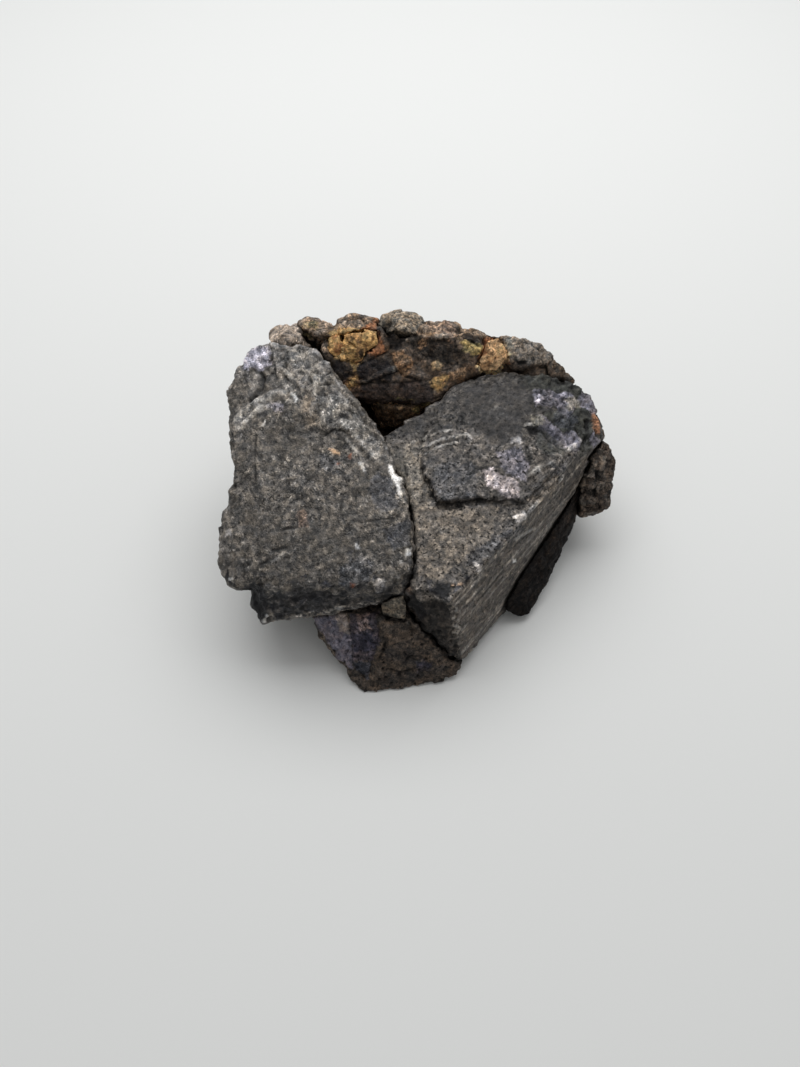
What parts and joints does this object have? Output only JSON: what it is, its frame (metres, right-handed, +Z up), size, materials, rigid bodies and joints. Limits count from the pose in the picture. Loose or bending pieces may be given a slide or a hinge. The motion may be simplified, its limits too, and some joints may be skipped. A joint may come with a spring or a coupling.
{
  "type": "galena specimen",
  "caption": "Lead-grey galena hand specimen: intergrown cleavage crystals with a stepped ledge and long bevel, on a rough crust around an iron-stained hollow.",
  "frame": {"origin": "middle of the bounding box, on the surface it rests on", "axes": "+X along the longest side towards the blunt corner crystal, +Y towards the crusted back, +Z up"},
  "size_m": [0.0859, 0.0794, 0.0425],
  "materials": {
    "galena_dusty": "lead-grey cleavage face, dull with fine dust, bright metallic glints on fresh steps",
    "galena_brown": "brown-grey tarnished face, slightly metallic",
    "galena_dark": "dark tarnished face, faint sheen",
    "matrix": "rough matt crust with small crystals and brown stain",
    "ochre": "matt powdery iron oxide, orange to yellow"
  },
  "bodies": {
    "root": {"left_crystal": "galena_dusty", "right_crystal": "galena_dusty", "lower_crystal": "galena_brown", "step_crystal": "galena_brown", "wedge_crystal": "galena_dark", "corner_crystal": "galena_brown", "rim_crystal": "galena_dusty", "corner_cube": "galena_dusty", "cavity_crystal": "galena_dark", "matrix_crust": "matrix", "ochre_left": "ochre", "ochre_right": "ochre", "ochre_edge": "ochre"}
  },
  "joints": []
}
